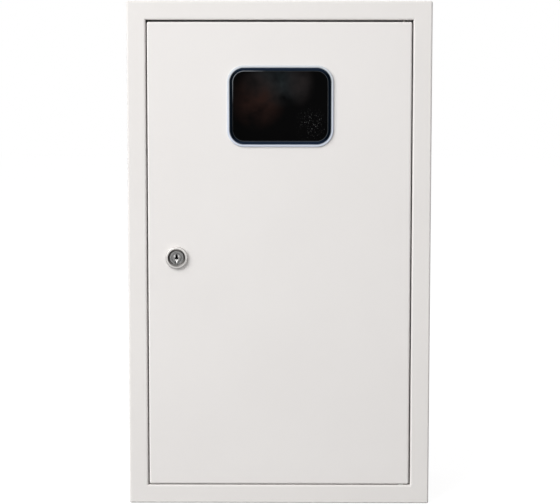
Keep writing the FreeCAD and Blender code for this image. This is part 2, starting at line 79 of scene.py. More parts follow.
class Signal:
    """An output of a shader node. Sums and products of signals add the nodes that make them."""

    def __init__(self, tree, socket=None):
        self.tree = tree
        self.socket = socket

    def node(self, kind, settings, sockets, output=0):
        """Adds a node: its settings first, then a value or a signal on each of its sockets."""
        made = self.tree.nodes.new("ShaderNode" + kind)
        for name, value in settings.items():
            setattr(made, name, value)
        for name, value in sockets.items():
            if isinstance(value, Signal):
                self.tree.links.new(value.socket, made.inputs[name])
            else:
                made.inputs[name].default_value = value
        return Signal(self.tree, made.outputs[output])

    def math(self, operation, first, second=0.0):
        return self.node("Math", {"operation": operation}, {0: first, 1: second})

    def __add__(self, other):
        return self.math("ADD", self, other)

    def __radd__(self, other):
        return self.math("ADD", other, self)

    def __sub__(self, other):
        return self.math("SUBTRACT", self, other)

    def __rsub__(self, other):
        return self.math("SUBTRACT", other, self)

    def __mul__(self, other):
        return self.math("MULTIPLY", self, other)

    def __rmul__(self, other):
        return self.math("MULTIPLY", other, self)

    def __pow__(self, other):
        return self.math("POWER", self, other)

    def __abs__(self):
        return self.math("ABSOLUTE", self)

    def at_least(self, other):
        return self.math("MAXIMUM", self, other)

    def at_most(self, other):
        return self.math("MINIMUM", self, other)

    def step(self, start, end):
        """0 before start, 1 after end, and a straight rise between."""
        return self.node("MapRange", {}, {"Value": self, "From Min": start, "From Max": end})

    def blend(self, one, two):
        """The first colour where this signal is 0, and the second where it is 1."""
        return self.node("Mix", {"data_type": "RGBA"}, {0: self, 6: one, 7: two}, 2)

    def place(self):
        """The x, y and z of each point, in metres."""
        point = self.node("TexCoord", {}, {}, "Object")
        return [self.node("SeparateXYZ", {}, {0: point}, axis) for axis in range(3)]

    def noise(self, scale, detail, stretch=(1, 1, 1)):
        """Noise with so many features to the metre, drawn out on an axis where stretch is low."""
        point = self.node("TexCoord", {}, {}, "Object")
        point = self.node("Mapping", {}, {"Vector": point, "Scale": stretch})
        return self.node("TexNoise", {}, {"Vector": point, "Scale": scale, "Detail": detail})

    def into(self, shader, socket):
        self.tree.links.new(self.socket, shader.inputs[socket])


def new_finish(name, constants):
    """A material with one shader. What is the same all over it is set on the shader itself."""
    finish = bpy.data.materials.new(name)
    finish.use_nodes = True
    shader = finish.node_tree.nodes["Principled BSDF"]
    for socket, value in constants.items():
        shader.inputs[socket].default_value = value
    return finish, shader, Signal(finish.node_tree)


def tone(red, green, blue):
    return (red, green, blue, 1.0)


def relief(height, shader, depth):
    """A fine relief over the surface, so many metres deep."""
    bump = height.node("Bump", {}, {"Distance": depth, "Height": height})
    bump.into(shader, "Normal")


def powder_coat(name, pale, shade):
    """Baked powder paint: two close tones in wide soft patches, and a skin of small soft humps.

    It has painted shade, nearly black, on the underside of the frame over the door, in the gap
    above the door, and most at the left."""
    finish, shader, start = new_finish(name, {"IOR": 1.5, "Specular IOR Level": 0.25})
    x, y, z = start.place()
    # Painted shade in the gap over the door, on the frame's underside, darkest at the left.
    gap_shade = abs(z - OPENING_TOP).step(*GAP_SHADE_HEIGHT)
    gap_shade = gap_shade * abs(x).step(OPENING_SIDE + GAP_SHADE_BEYOND, OPENING_SIDE)
    gap_shade = gap_shade * y.step(*GAP_SHADE_FRONT) * y.step(*GAP_SHADE_REAR) * x.step(*GAP_SHADE_ACROSS)
    paint = start.noise(11, 3).step(0.3, 0.7).blend(pale, shade)
    gap_shade.blend(paint, tone(0.03, 0.028, 0.026)).into(shader, "Base Color")
    skin = start.noise(620, 2)
    (skin * 0.16 + 0.44).into(shader, "Roughness")
    relief(skin + start.noise(150, 1) * 0.8, shader, PAINT_RELIEF)
    return finish


def coat(finish, *names):
    """Gives this finish to the solids of these nodes."""
    for name in names:
        for material_slot in nodes[name].material_slots:
            material_slot.material = finish


cabinet_paint = powder_coat("cabinet_powder_coat", tone(0.80, 0.775, 0.755),
                            tone(0.785, 0.76, 0.74))
coat(cabinet_paint, "body_shell", "stop_brackets")


# The stop buffers are soft black rubber buttons with a round edge, pushed on to the two angles,
# and the door's turned edge comes to rest just in front of them.
BUFFER_EDGE = 0.0012
BUFFER_RELIEF = 0.00005
NEAR = 0.0001
SAME_POINT = 0.000001


def start_piece(name, add, **settings):
    """Adds a primitive at its size and place, and leaves its place in its mesh."""
    bpy.ops.object.select_all(action="DESELECT")
    add(**settings)
    piece = bpy.context.object
    piece.name = name
    piece.data.name = name
    bpy.ops.object.transform_apply(location=True, rotation=True, scale=True)
    return piece


def take(*pieces):
    """Ends any editing, and leaves only these pieces selected, with the first one active."""
    if bpy.context.object and bpy.context.object.mode == "EDIT":
        bpy.ops.object.mode_set(mode="OBJECT")
    bpy.ops.object.select_all(action="DESELECT")
    for piece in pieces:
        piece.select_set(True)
    bpy.context.view_layer.objects.active = pieces[0]


def choose(piece, kind, test):
    """Opens the piece for editing with the faces or edges selected that pass the test.

    A face is tested by its middle and normal, an edge by its two ends."""
    take(piece)
    bpy.ops.object.mode_set(mode="EDIT")
    bpy.ops.mesh.select_mode(type=kind)
    bpy.ops.mesh.select_all(action="DESELECT")
    bpy.ops.object.mode_set(mode="OBJECT")
    points = piece.data.vertices
    if kind == "FACE":
        for face in piece.data.polygons:
            face.select = test(face.center, face.normal)
    else:
        for edge in piece.data.edges:
            one, two = [points[number] for number in edge.vertices]
            edge.select = test(one.co, two.co)
            one.select = one.select or edge.select
            two.select = two.select or edge.select
    bpy.ops.object.mode_set(mode="EDIT")


def choose_all(piece):
    choose(piece, "FACE", lambda middle, normal: True)


def extrude(x, y, z):
    bpy.ops.mesh.extrude_region_move(TRANSFORM_OT_translate={"value": (x, y, z)})


def bevel(offset, segments):
    bpy.ops.mesh.bevel(offset=offset, segments=segments, affect="EDGES")


def turn(name, x, z, profile, sides=48):
    """A turned piece with its axis along Y, drawn out through each radius and depth.

    It starts as a disc, or as a bare ring where the profile comes back to its start."""
    radius, depth = profile[0]
    hollow = profile[0] == profile[-1]
    piece = start_piece(name, bpy.ops.mesh.primitive_circle_add, vertices=sides, radius=radius,
                        fill_type="NOTHING" if hollow else "NGON", location=(x, depth, z),
                        rotation=(math.radians(90), 0, 0))
    choose(piece, "EDGE", lambda one, two: True)
    for next_radius, next_depth in profile[1:]:
        extrude(0, next_depth - depth, 0)
        share = next_radius / radius
        bpy.ops.transform.resize(value=(share, 1, share), center_override=(x, next_depth, z))
        radius, depth = next_radius, next_depth
    bpy.ops.mesh.select_all(action="SELECT")
    if hollow:
        bpy.ops.mesh.remove_doubles(threshold=SAME_POINT)
    bpy.ops.mesh.normals_make_consistent(inside=False)
    bpy.ops.object.mode_set(mode="OBJECT")
    return piece


def join(first, *others):
    """One object from several, each of which keeps its own closed surface."""
    take(first, *others)
    bpy.ops.object.join()
    return first


def repeat(piece, *shifts):
    """The piece, and a copy of it with a mesh of its own at each shift."""
    pieces = [piece]
    for shift in shifts:
        take(piece)
        bpy.ops.object.duplicate()
        bpy.ops.transform.translate(value=shift)
        bpy.ops.object.transform_apply(location=True, rotation=True, scale=True)
        pieces.append(bpy.context.object)
    return pieces


def dress(piece, finish, slot, body, *replaced, angle=30):
    """Smooths the piece, gives it its finish, and hangs it on its body in place of the nodes."""
    take(piece)
    bpy.ops.object.shade_smooth_by_angle(angle=math.radians(angle))
    piece.data.materials.clear()
    piece.data.materials.append(finish)
    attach(piece, body)
    if replaced:
        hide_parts(*replaced)


rubber, shader, start = new_finish("soft_rubber", {"IOR": 1.5, "Specular IOR Level": 0.25})
bloom = start.noise(300, 3)
bloom.blend(tone(0.022, 0.022, 0.023), tone(0.05, 0.05, 0.05)).into(shader, "Base Color")
(start.noise(120, 2) * 0.2 + 0.6).into(shader, "Roughness")
relief(start.noise(1400, 2), shader, BUFFER_RELIEF)

buffer_low, buffer_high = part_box("stop_buffers")
buffer_radius = (buffer_high.x - buffer_low.x) / 2
button = turn("stop_buffer", buffer_low.x + buffer_radius, buffer_low.z + buffer_radius,
              [(buffer_radius, buffer_high.y), (buffer_radius, buffer_low.y)])
choose(button, "EDGE", lambda one, two: max(one.y, two.y) < buffer_low.y + NEAR)
bevel(BUFFER_EDGE, 5)
bpy.ops.object.mode_set(mode="OBJECT")
buffers = repeat(button, (0, 0, buffer_high.z - buffer_low.z - 2 * buffer_radius))
dress(join(*buffers), rubber, "black_rubber", "cabinet", "stop_buffers")


# Four turned posts are welded to the back, each with a shoulder for the meter plate and a
# threaded end. The plate is a pan with turned edges and slots for the meter's screws. All of
# it is bright zinc plated, with the faint cloudy grain that the plating bath leaves.
PLATE_THREAD = 0.0025
PLATE_THREAD_PITCH = 0.0008
PLATE_SHEET = 0.0015
POST_RADIUS = 0.005
THREAD_SIDES = 24
THREAD_DEPTH = 0.5
THREAD_CREST = (0.4, 0.6)
THREAD_POINT = 0.0004
METAL_RELIEF = 0.00001


def thread(radius, start, end, pitch):
    """Crests and roots between two depths, as part of a turned profile, with a blunt point."""
    count = round(abs(end - start) / pitch)
    step = (end - start) / count
    root = radius - pitch * THREAD_DEPTH
    profile = [(root, start)]
    for number in range(count):
        profile += [(radius, start + step * (number + share)) for share in THREAD_CREST]
        profile.append((root, start + step * (number + 1)))
    return profile + [(root - THREAD_POINT, end)]


zinc, shader, start = new_finish("bright_zinc_plate", {"Metallic": 1.0})
cloudy = start.noise(45, 4, (1, 1, 0.5)).step(0.3, 0.7)
cloudy.blend(tone(0.62, 0.64, 0.67), tone(0.54, 0.56, 0.60)).into(shader, "Base Color")
(start.noise(260, 2) * 0.22 + 0.30).into(shader, "Roughness")
relief(start.noise(900, 2), shader, METAL_RELIEF)
coat(zinc, "meter_plate")

post_low, post_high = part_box("plate_posts")
post_x = post_low.x + POST_RADIUS
post_z = post_low.z + POST_RADIUS
post_wide = post_high.x - post_low.x - 2 * POST_RADIUS
post_tall = post_high.z - post_low.z - 2 * POST_RADIUS
post_shifts = [(post_wide, 0, 0), (0, 0, post_tall), (post_wide, 0, post_tall)]
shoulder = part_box("plate_nuts")[1].y + PLATE_SHEET
post_profile = [(POST_RADIUS, post_high.y), (POST_RADIUS, shoulder)]
post_profile += thread(PLATE_THREAD, shoulder, post_low.y, PLATE_THREAD_PITCH)
plate_post = turn("plate_post", post_x, post_z, post_profile, THREAD_SIDES)
dress(join(*repeat(plate_post, *post_shifts)), zinc, "zinc_plate", "cabinet", "plate_posts")


# The meter plate's four nuts are plain hexagon nuts, chamfered at the outer end and zinc
# plated. They are screwed on to the posts and clamp the plate against their shoulders.
NUT_ACROSS = 3.25
NUT_CHAMFER = 0.6
NUT_FACE = 0.96
NUT_HOLE = 0.9
NUT_SIDES = 72
NUT_COUNTERSINK = 0.0004


def hex_nut(name, x, z, seat, outer, across, thread_radius):
    """A turned ring with a chamfered outer end and a countersunk hole, cut to its six flats."""
    corner = across / 2 / math.cos(math.radians(30))
    outward = math.copysign(1, outer - seat)
    chamfer = (corner - across / 2) * NUT_CHAMFER
    mouth = thread_radius + NUT_COUNTERSINK
    hole = thread_radius * NUT_HOLE
    profile = [(corner, seat), (corner, outer - outward * chamfer),
               (across / 2 * NUT_FACE, outer), (mouth, outer),
               (hole, outer - outward * 2 * NUT_COUNTERSINK), (hole, seat), (corner, seat)]
    nut = turn(name, x, z, profile, NUT_SIDES)
    choose_all(nut)
    for flat in range(6):
        angle = math.radians(60 * flat + 30)
        way = Vector((math.cos(angle), 0, math.sin(angle)))
        bpy.ops.mesh.select_all(action="SELECT")
        bpy.ops.mesh.bisect(plane_co=Vector((x, seat, z)) + way * (across / 2), plane_no=way,
                            use_fill=True, clear_outer=True)
    bpy.ops.object.mode_set(mode="OBJECT")
    return nut


nut_low, nut_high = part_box("plate_nuts")
nut_across = NUT_ACROSS * PLATE_THREAD
plate_nut = hex_nut("plate_nut", post_x, post_z, nut_high.y, nut_low.y, nut_across, PLATE_THREAD)
dress(join(*repeat(plate_nut, *post_shifts)), zinc, "zinc_plate", "cabinet", "plate_nuts")


# The equipment rail is rolled from thin zinc plated strip. Two pan head screws with a cross
# recess hold it on two welded posts, through its outer slots.
RAIL_SHEET = 0.001
RAIL_SCREW_X = 0.060
RAIL_SCREW_RADIUS = 0.0048
RAIL_SCREW_HEIGHT = 0.0043
RECESS_WIDTH = 0.22
RECESS_DEPTH = 0.28
CROSS_LENGTH = 1.1
SLOT_LENGTH = 2.4
HEAD_SIDES = 40
ROUND_CROWN = [(1.0, 0), (1.0, 0.45), (0.97, 0.7), (0.88, 0.88), (0.72, 0.97), (0.5, 1.0)]
FLAT_CROWN = [(1.0, 0), (1.0, 0.9), (0.9, 1.0)]


def cut_away(piece, *tools):
    """Cuts the tools out of the piece and removes them."""
    tool = join(*tools)
    take(piece)
    cut = piece.modifiers.new("recess", "BOOLEAN")
    cut.operation = "DIFFERENCE"
    cut.object = tool
    cut.use_self = True
    bpy.ops.object.modifier_apply(modifier=cut.name)
    bpy.data.objects.remove(tool)


def bar_tool(x, y, z, length, width, depth):
    """A bar for cutting a slot that is open towards the front."""
    return start_piece("recess_tool", bpy.ops.mesh.primitive_cube_add, size=1, location=(x, y, z),
                       scale=(length, 2 * depth, width))


def pan_head(name, x, z, seat, outer, radius, slots=2):
    """A rounded head with a cross recess, or a square-edged one with a single slot."""
    height = outer - seat
    crown, length = (ROUND_CROWN, CROSS_LENGTH) if slots == 2 else (FLAT_CROWN, SLOT_LENGTH)
    profile = [(radius * share, seat + height * rise) for share, rise in crown]
    head = turn(name, x, z, profile, HEAD_SIDES)
    length = radius * length
    width = radius * RECESS_WIDTH
    depth = abs(height) * RECESS_DEPTH
    tools = [bar_tool(x, outer, z, length, width, depth)]
    if slots == 2:
        tools.append(bar_tool(x, outer, z, width, length, depth))
    cut_away(head, *tools)
    return head


coat(zinc, "din_rail", "rail_posts")
rail_low, rail_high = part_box("din_rail")
rail_z = (rail_low.z + rail_high.z) / 2
rail_web = rail_high.y - RAIL_SHEET
rail_screw = pan_head("rail_screw", -RAIL_SCREW_X, rail_z, rail_web, rail_web - RAIL_SCREW_HEIGHT,
                      RAIL_SCREW_RADIUS)
dress(join(*repeat(rail_screw, (2 * RAIL_SCREW_X, 0, 0))), zinc, "zinc_plate", "cabinet")


# The earth bar is drawn brass, drilled for four wires, with a slotted clamping screw backed out
# over each hole and a fixing screw near each end. Its drawn faces carry fine lines along it.
BAR_THICKNESS = 0.009
BAR_RELIEF = 0.00002
BAR_FIXING_RADIUS = 0.00395
BAR_FIXING_HEIGHT = 0.00345
BAR_FIXING_FROM_END = 0.005
CLAMP_RADIUS = 0.00232
CLAMP_PROUD = 0.0031
CLAMP_FROM_END = 0.014
CLAMP_PITCH = 0.011

coat(zinc, "bar_posts")
brass, shader, start = new_finish("drawn_brass", {"Metallic": 1.0})
tarnish = start.noise(70, 3).step(0.35, 0.75)
tarnish.blend(tone(0.78, 0.60, 0.30), tone(0.60, 0.42, 0.20)).into(shader, "Base Color")
(start.noise(400, 2, (0.05, 1, 1)) * 0.2 + 0.22).into(shader, "Roughness")
relief(start.noise(1500, 1, (0.03, 1, 1)), shader, BAR_RELIEF)
coat(brass, "earth_bar")

bar_low, bar_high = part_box("earth_bar")
bar_z = (bar_low.z + bar_high.z) / 2
bar_front = bar_high.y - BAR_THICKNESS
bar_screw = pan_head("bar_screw", bar_low.x + BAR_FIXING_FROM_END, bar_z, bar_front,
                     bar_front - BAR_FIXING_HEIGHT, BAR_FIXING_RADIUS)
bar_screws = repeat(bar_screw, (bar_high.x - bar_low.x - 2 * BAR_FIXING_FROM_END, 0, 0))
dress(join(*bar_screws), zinc, "zinc_plate", "cabinet")
clamp_screw = pan_head("clamp_screw", bar_low.x + CLAMP_FROM_END, bar_z, bar_front,
                       bar_front - CLAMP_PROUD, CLAMP_RADIUS, 1)
clamp_screws = repeat(clamp_screw, *[(CLAMP_PITCH * number, 0, 0) for number in (1, 2, 3)])
dress(join(*clamp_screws), brass, "terminal_brass", "cabinet")


# The earth stud is a plated thread welded to the back, with one hexagon nut for the wire's
# lug. The door has a stud and nut of the same kind on its inside, near the lower pin.
STUD_RADIUS = 0.003
STUD_PITCH = 0.001


def stud_and_nut(stud_node, nut_node, body):
    """A threaded stud along Y and the nut on it, each in place of its node."""
    low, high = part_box(stud_node)
    x = (low.x + high.x) / 2
    z = (low.z + high.z) / 2
    nut_low, nut_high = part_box(nut_node)
    tip, foot = (low.y, high.y) if body == "cabinet" else (high.y, low.y)
    stud = turn(stud_node + "_thread", x, z, thread(STUD_RADIUS, foot, tip, STUD_PITCH),
                THREAD_SIDES)
    dress(stud, zinc, "zinc_plate", body, stud_node)
    seat, outer = (nut_high.y, nut_low.y) if body == "cabinet" else (nut_low.y, nut_high.y)
    nut = hex_nut(nut_node + "_hexagon", x, z, seat, outer, nut_high.z - nut_low.z, STUD_RADIUS)
    dress(nut, zinc, "zinc_plate", body, nut_node)


stud_and_nut("earth_stud", "earth_nut", "cabinet")


# The thrust washer is moulded from white nylon and slightly waxy. It lies on the frame's lower
# flange round the lower pin, and carries the weight of the door.
nylon, shader, start = new_finish("white_nylon", {"IOR": 1.53, "Subsurface Weight": 0.15})
waxy = start.noise(200, 2)
waxy.blend(tone(0.60, 0.59, 0.555), tone(0.54, 0.53, 0.50)).into(shader, "Base Color")
(start.noise(500, 2) * 0.15 + 0.35).into(shader, "Roughness")
coat(nylon, "thrust_washer")


# The door is a shallow pan of the same sheet, flush with the frame and coated like it. The
# angle that guides the upper hinge pin is welded inside, near an earth stud with its nut.
door_paint = powder_coat("door_powder_coat", tone(0.81, 0.785, 0.768), tone(0.795, 0.77, 0.753))
coat(door_paint, "door_panel", "pin_bracket")
stud_and_nut("door_stud", "door_stud_nut", "door")


# The lower hinge pin is a plain turned pin of dull grey steel. It is welded under the door's
# foot and stands in a hole in the frame, through the thrust washer.
dull, shader, start = new_finish("dull_steel", {"Metallic": 1.0})
drawn = start.noise(160, 4, (1, 1, 0.3))
drawn.blend(tone(0.13, 0.12, 0.11), tone(0.08, 0.075, 0.07)).into(shader, "Base Color")
(start.noise(420, 2) * 0.2 + 0.42).into(shader, "Roughness")
relief(start.noise(1500, 2), shader, METAL_RELIEF)
coat(dull, "lower_pin")


# The window is one clear moulding that is snapped into the door: a rounded rim that lies over
# the paint, a skirt through the cut-out with hooks behind the sheet, and a sunk smoky pane.
WINDOW_WIDE = 0.0994
WINDOW_TALL = 0.0744
WINDOW_ROUND = 0.0140
WINDOW_RIM = 0.0027
WINDOW_RIM_ROUND = 0.0009
WINDOW_CREST = 0.0005
WINDOW_RECESS = 0.0012
WINDOW_PANE = 0.0020
WINDOW_WALL = 0.0025
WINDOW_FIT = 0.0002
HOOK_WIDTH = 0.010
HOOK_CATCH = 0.0012
HOOK_LENGTH = 0.003
HOOK_SHIFT = 0.025
HOOK_ROOT = 0.0004
HOOK_EDGE = 0.0002
HOOK_PLAY = 0.00005
HOOK_TURNS = (0, 0, 180, 180, 90, 270)
SHEET = 0.0012
FACING = 0.99

lens_low, lens_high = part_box("window_lens")
door_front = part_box("door_panel")[0].y
rim_face = lens_low.y
window = Vector(((lens_low.x + lens_high.x) / 2, door_front, (lens_low.z + lens_high.z) / 2))
skirt_end = lens_high.y


def quarter_round(radius, steps, falling):
    """Draws the chosen face inwards round a quarter circle: up a rounded edge, or over one."""
    for number in range(steps):
        angles = [math.radians(90 * (number + more) / steps) for more in (0, 1)]
        flat = [1 - math.cos(angle) for angle in angles]
        upright = [math.sin(angle) for angle in angles]
        inward, forward = flat[1] - flat[0], upright[1] - upright[0]
        if falling:
            inward, forward = forward, -inward
        bpy.ops.mesh.inset(thickness=inward * radius, depth=forward * radius)


rim_side = rim_face + WINDOW_RIM_ROUND
lens = start_piece("clear_window", bpy.ops.mesh.primitive_cube_add, size=1,
                   location=(window.x, (rim_side + door_front) / 2, window.z),
                   scale=(lens_high.x - lens_low.x, door_front - rim_side,
                          lens_high.z - lens_low.z))
choose(lens, "EDGE", lambda one, two: abs(one.y - two.y) > NEAR)
bevel(WINDOW_ROUND + WINDOW_RIM, 16)
choose(lens, "FACE", lambda middle, normal: normal.y < -FACING)
quarter_round(WINDOW_RIM_ROUND, 5, False)
bpy.ops.mesh.inset(thickness=WINDOW_RIM + WINDOW_WALL - WINDOW_RIM_ROUND - WINDOW_CREST)
quarter_round(WINDOW_CREST, 4, True)
extrude(0, WINDOW_RECESS - WINDOW_CREST, 0)
choose(lens, "FACE", lambda middle, normal: normal.y > FACING and middle.y > door_front - NEAR)
bpy.ops.mesh.inset(thickness=WINDOW_RIM + WINDOW_FIT)
extrude(0, skirt_end - door_front, 0)
bpy.ops.mesh.inset(thickness=WINDOW_WALL - WINDOW_FIT)
extrude(0, rim_face + WINDOW_RECESS + WINDOW_PANE - skirt_end, 0)
bpy.ops.object.mode_set(mode="OBJECT")

hook_start = door_front + SHEET + HOOK_PLAY
catch = WINDOW_FIT + HOOK_CATCH
skirt_top = WINDOW_TALL / 2 - WINDOW_FIT
skirt_side = WINDOW_WIDE / 2 - WINDOW_FIT
hook = start_piece("window_hook", bpy.ops.mesh.primitive_cube_add, size=1,
                   location=(HOOK_SHIFT, hook_start + HOOK_LENGTH / 2,
                             skirt_top + (catch - HOOK_ROOT) / 2),
                   scale=(HOOK_WIDTH, HOOK_LENGTH, catch + HOOK_ROOT))
choose(hook, "EDGE", lambda one, two: min(one.y, two.y) > hook_start + NEAR
       and min(one.z, two.z) > skirt_top + NEAR)
bpy.ops.transform.translate(value=(0, 0, -catch))
bpy.ops.mesh.select_all(action="SELECT")
bevel(HOOK_EDGE, 2)
bpy.ops.object.mode_set(mode="OBJECT")
beside = (-2 * HOOK_SHIFT, 0, 0)
at_side = (-HOOK_SHIFT, 0, skirt_side - skirt_top)
hooks = repeat(hook, beside, (0, 0, 0), beside, at_side, at_side)
for hook, angle in zip(hooks, HOOK_TURNS):
    take(hook)
    hook.rotation_euler = (0, math.radians(angle), 0)
    hook.location = (window.x, 0, window.z)
    bpy.ops.object.transform_apply(location=True, rotation=True, scale=True)

# The rim over the paint is pale, with painted light that grows paler and bluer towards its
# bottom, and painted shade at its inner edge. The wall round the pane is navy, painted shade of
# the dark cut-out, paler over and under the pane, with a painted highlight along its crest. The
# pane is nearly black, smoky and painted with the shade of the dark box behind it, with faint
# painted reflections and a little dust.
RIM_FADE = (0, 0.0011)
RIM_LIGHT = (0.45, 9)
WALL_EDGE = (-0.0031, -0.0026)
WALL_LEVEL = (0.031, 0.036)
CREST_INNER = (-0.0033, -0.0029)
CREST_OUTER = (-0.0024, -0.0027)
CREST_LIGHT = (24, 1.1, 0.055)
OVAL_REACH = 1.5
OVAL_FALL = 1.7
# Painted reflections in the pane: soft ovals, each with its middle, width, height and tint.
PANE_REFLECTIONS = (((-0.005, 0.022, 0.030, 0.021), (0.015, 0.020, 0.022)),
          ((-0.022, 0.007, 0.025, 0.027), (0.019, 0.009, 0.007)),
          ((0.018, 0.022, 0.014, 0.020), (0.016, 0.013, 0.013)))
DUST = (0.030, -0.018, 0.014, 0.018)

clear, shader, start = new_finish("clear_window_moulding",
                                  {"IOR": 1.49, "Specular IOR Level": 0.006})
x, y, z = start.place()
from_middle_x = x - window.x
from_middle_z = z - window.z
over_x = abs(from_middle_x) - (WINDOW_WIDE / 2 - WINDOW_ROUND)
over_z = abs(from_middle_z) - (WINDOW_TALL / 2 - WINDOW_ROUND)
corner = (over_x.at_least(0) ** 2 + over_z.at_least(0) ** 2) ** 0.5
edge = corner + over_x.at_least(over_z).at_most(0) - WINDOW_ROUND
# The rim's colour fades into the wall's over its inner 1.1 mm: painted shade where the dark
# cut-out shows through its inner edge.
on_paint = edge.step(*RIM_FADE) * y.step(door_front + 3 * NEAR, door_front + NEAR)


def soft_oval(middle_x, middle_z, wide, tall):
    """1 in the middle of a soft oval, and 0 outside it."""
    distance = (((from_middle_x - middle_x) * (1 / wide)) ** 2
                + ((from_middle_z - middle_z) * (1 / tall)) ** 2)
    return distance.step(OVAL_REACH, 0) ** OVAL_FALL * start.noise(60, 3).step(0.25, 0.6)


# The pane's near black is its smoky tint and painted shade of the dark box behind it; the ovals
# laid on it are painted reflections.
pane = tone(0.0011, 0.0011, 0.0012)
for oval, tint in PANE_REFLECTIONS:
    pane = soft_oval(*oval).blend(pane, tone(*tint))
dust = start.noise(1100, 1).step(0.66, 0.74) * soft_oval(*DUST)
pane = dust.blend(pane, tone(0.14, 0.14, 0.14))
# The navy wall is painted shade of the dark cut-out seen through the plastic, painted paler over
# and under the pane.
wall = edge.step(*WALL_EDGE)
level = abs(from_middle_z).step(*WALL_LEVEL)
navy = level.blend(tone(0.0012, 0.0033, 0.007), tone(0.010, 0.018, 0.035))
sunk = wall.blend(pane, navy)
# Painted highlight along the crest, brightest at the upper left.
crest = edge.step(*CREST_INNER) * edge.step(*CREST_OUTER)
slope, shaded, least = CREST_LIGHT
lit = ((from_middle_z - from_middle_x) * slope - shaded).at_least(least).at_most(1)
sunk = (crest * lit).blend(sunk, tone(0.86, 0.92, 1.0))
# Painted light on the rim: paler and bluer towards its bottom.
middle, slope = RIM_LIGHT
rim_light = (middle - from_middle_z * slope).at_least(0).at_most(1)
rim = rim_light.blend(tone(0.60, 0.63, 0.66), tone(0.65, 0.70, 0.82))
on_paint.blend(sunk, rim).into(shader, "Base Color")
(start.noise(60, 2) * 0.08 + 0.10).into(shader, "Roughness")
dress(join(lens, *hooks), clear, "window_plastic", "door", "window_lens", angle=35)


# The lock is a standard cam lock: a plated zinc bezel, dished round the plug, on a threaded
# barrel with two flats, which a broad nut clamps from behind the door.
BEZEL_RADIUS = 0.011
BEZEL_ROUND = 0.0009
DISH_RADIUS = 0.0087
DISH_DEPTH = 0.0016
BARREL_RADIUS = 0.009
BARREL_FLATS = 0.016
BARREL_PITCH = 0.0012
PLUG_HEAD_RADIUS = 0.0071
PLUG_HEAD_LENGTH = 0.0026
PLUG_RADIUS = 0.006
PLUG_FIT = 0.0001
SHADE_BELOW = 0.6

lock_low, lock_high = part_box("lock_housing")
lock_x = (lock_low.x + lock_high.x) / 2
lock_z = (lock_low.z + lock_high.z) / 2
bezel_face = lock_low.y
lock_face = bezel_face + DISH_DEPTH
plug_shoulder = lock_face + PLUG_HEAD_LENGTH

nickel, shader, start = new_finish("nickel_bezel", {"Metallic": 1.0})
x, y, z = start.place()
across = x - lock_x
rise = z - lock_z
out = (across ** 2 + rise ** 2) ** 0.5
pale = start.noise(200, 2).blend(tone(0.57, 0.555, 0.54), tone(0.50, 0.485, 0.47))
# Inside the dish the bezel gets painted shade: darkest at the sides, dark below, and paler at the
# top.
in_dish = out.step(DISH_RADIUS + 2 * NEAR, DISH_RADIUS - NEAR)
in_dish = in_dish * y.step(door_front, door_front - NEAR)
dim = (abs(across) * (1 / DISH_RADIUS)).at_least(rise * (-SHADE_BELOW / DISH_RADIUS))
shaded = dim.blend(tone(0.50, 0.48, 0.46), tone(0.04, 0.038, 0.036))
in_dish.blend(pale, shaded).into(shader, "Base Color")
(start.noise(300, 2) * 0.12 + 0.46).into(shader, "Roughness")

head_bore = PLUG_HEAD_RADIUS + PLUG_FIT
bore = PLUG_RADIUS + PLUG_FIT
bezel = turn("lock_bezel", lock_x, lock_z, [
    (BEZEL_RADIUS, door_front), (BEZEL_RADIUS, bezel_face), (DISH_RADIUS, bezel_face),
    (head_bore, lock_face), (head_bore, door_front), (BEZEL_RADIUS, door_front)], 96)
choose(bezel, "EDGE", lambda one, two: max(one.y, two.y) < bezel_face + NEAR
       and (one - Vector((lock_x, one.y, lock_z))).length > BEZEL_RADIUS - NEAR
       and (two - Vector((lock_x, two.y, lock_z))).length > BEZEL_RADIUS - NEAR)
bevel(BEZEL_ROUND, 5)
bpy.ops.object.mode_set(mode="OBJECT")
barrel_thread = thread(BARREL_RADIUS, door_front, lock_high.y, BARREL_PITCH)
barrel = turn("lock_barrel", lock_x, lock_z, barrel_thread + [
    (bore, lock_high.y), (bore, plug_shoulder + PLUG_FIT), (head_bore, plug_shoulder + PLUG_FIT),
    (head_bore, door_front), barrel_thread[0]], 64)
choose_all(barrel)
for side in (-1, 1):
    bpy.ops.mesh.select_all(action="SELECT")
    bpy.ops.mesh.bisect(plane_co=(lock_x + side * BARREL_FLATS / 2, 0, lock_z),
                        plane_no=(side, 0, 0), use_fill=True, clear_outer=True)
bpy.ops.object.mode_set(mode="OBJECT")
dress(join(bezel, barrel), nickel, "lock_nickel", "door", "lock_housing")

big_low, big_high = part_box("lock_nut")
lock_nut = hex_nut("lock_nut_hexagon", lock_x, lock_z, big_low.y, big_high.y,
                   big_high.z - big_low.z, BARREL_RADIUS)
dress(lock_nut, zinc, "zinc_plate", "door", "lock_nut")


# The plug turns in the barrel. Its face has a keyway that widens downwards, and the sprung
# tumblers behind it show their forked edges in the foot of the slot.
KEY_TOP = 0.0038
KEY_WAIST = -0.0009
KEY_FOOT = -0.0044
KEY_NARROW = 0.0010
KEY_WIDE = 0.0032
KEY_DEPTH = 0.0120
FACE_EDGE = 0.0004
FACE_RIM = (0.0062, 0.0066)
FACE_RELIEF = 0.00008
GROOVE_INNER = (0.0043, 0.0045)
GROOVE_OUTER = (0.0050, 0.0048)
TURNED_LINES = 14000
# Where the two painted highlights beside the top of the keyway lie, and how small they are.
HIGHLIGHT_PLACE = (0.0021, 0.0016)
HIGHLIGHT_SCALE = (1000, 650)
TAIL_RADIUS = 0.0033
BEYOND_BARREL = 0.0003
FORK_APART = 0.0008
WAFER_THICK = 0.001
WAFER_DEEP = 0.0004
WAFER_PITCH = 0.0026
WAFER_EDGE = 0.00012
FORK_SET_BACK = 0.0001

